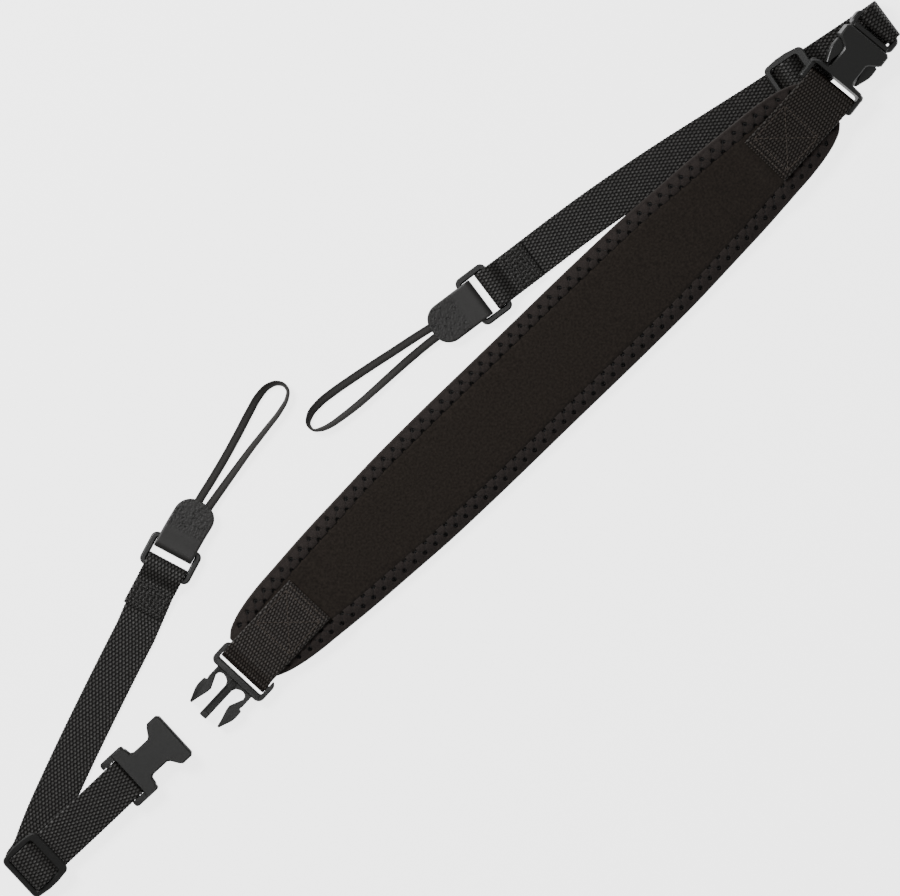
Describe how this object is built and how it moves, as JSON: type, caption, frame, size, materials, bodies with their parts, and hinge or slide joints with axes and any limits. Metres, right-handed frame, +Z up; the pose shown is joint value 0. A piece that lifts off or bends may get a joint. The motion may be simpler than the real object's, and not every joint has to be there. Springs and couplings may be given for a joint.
{
  "type": "camera neck strap",
  "caption": "Padded camera neck strap lying flat, with webbing connectors, side-release buckles, sliders, rings, leather tabs and cord loops.",
  "frame": {"origin": "on the floor, under the middle of the pad's underside", "axes": "+X along the pad toward the closed buckle, +Y toward the side on which the connectors lie, +Z up"},
  "size_m": [0.5678, 0.1127, 0.0162],
  "materials": {
    "pad_cover": "brown-black synthetic suede, matt, fine nap",
    "binding_cloth": "black cloth band, folded over the edge and sewn",
    "webbing": "black woven nylon webbing",
    "plastic": "black moulded acetal, satin, fine spark texture",
    "leather": "black leather, smooth, stitched at its end",
    "cord": "black flat braided nylon cord"
  },
  "bodies": {
    "root": {"pad_core": "pad_cover", "pad_binding": "binding_cloth", "tab_left": "webbing", "tab_right": "webbing", "male_buckle_left": "plastic", "female_buckle_left": "plastic", "male_buckle_right": "plastic", "female_buckle_right": "plastic", "slider_left": "plastic", "slider_right": "plastic", "ring_left": "plastic", "ring_right": "plastic", "leather_tab_left": "leather", "leather_tab_right": "leather", "webbing_left": "webbing", "webbing_right": "webbing", "cord_loop_left": "cord", "cord_loop_right": "cord"}
  },
  "joints": []
}
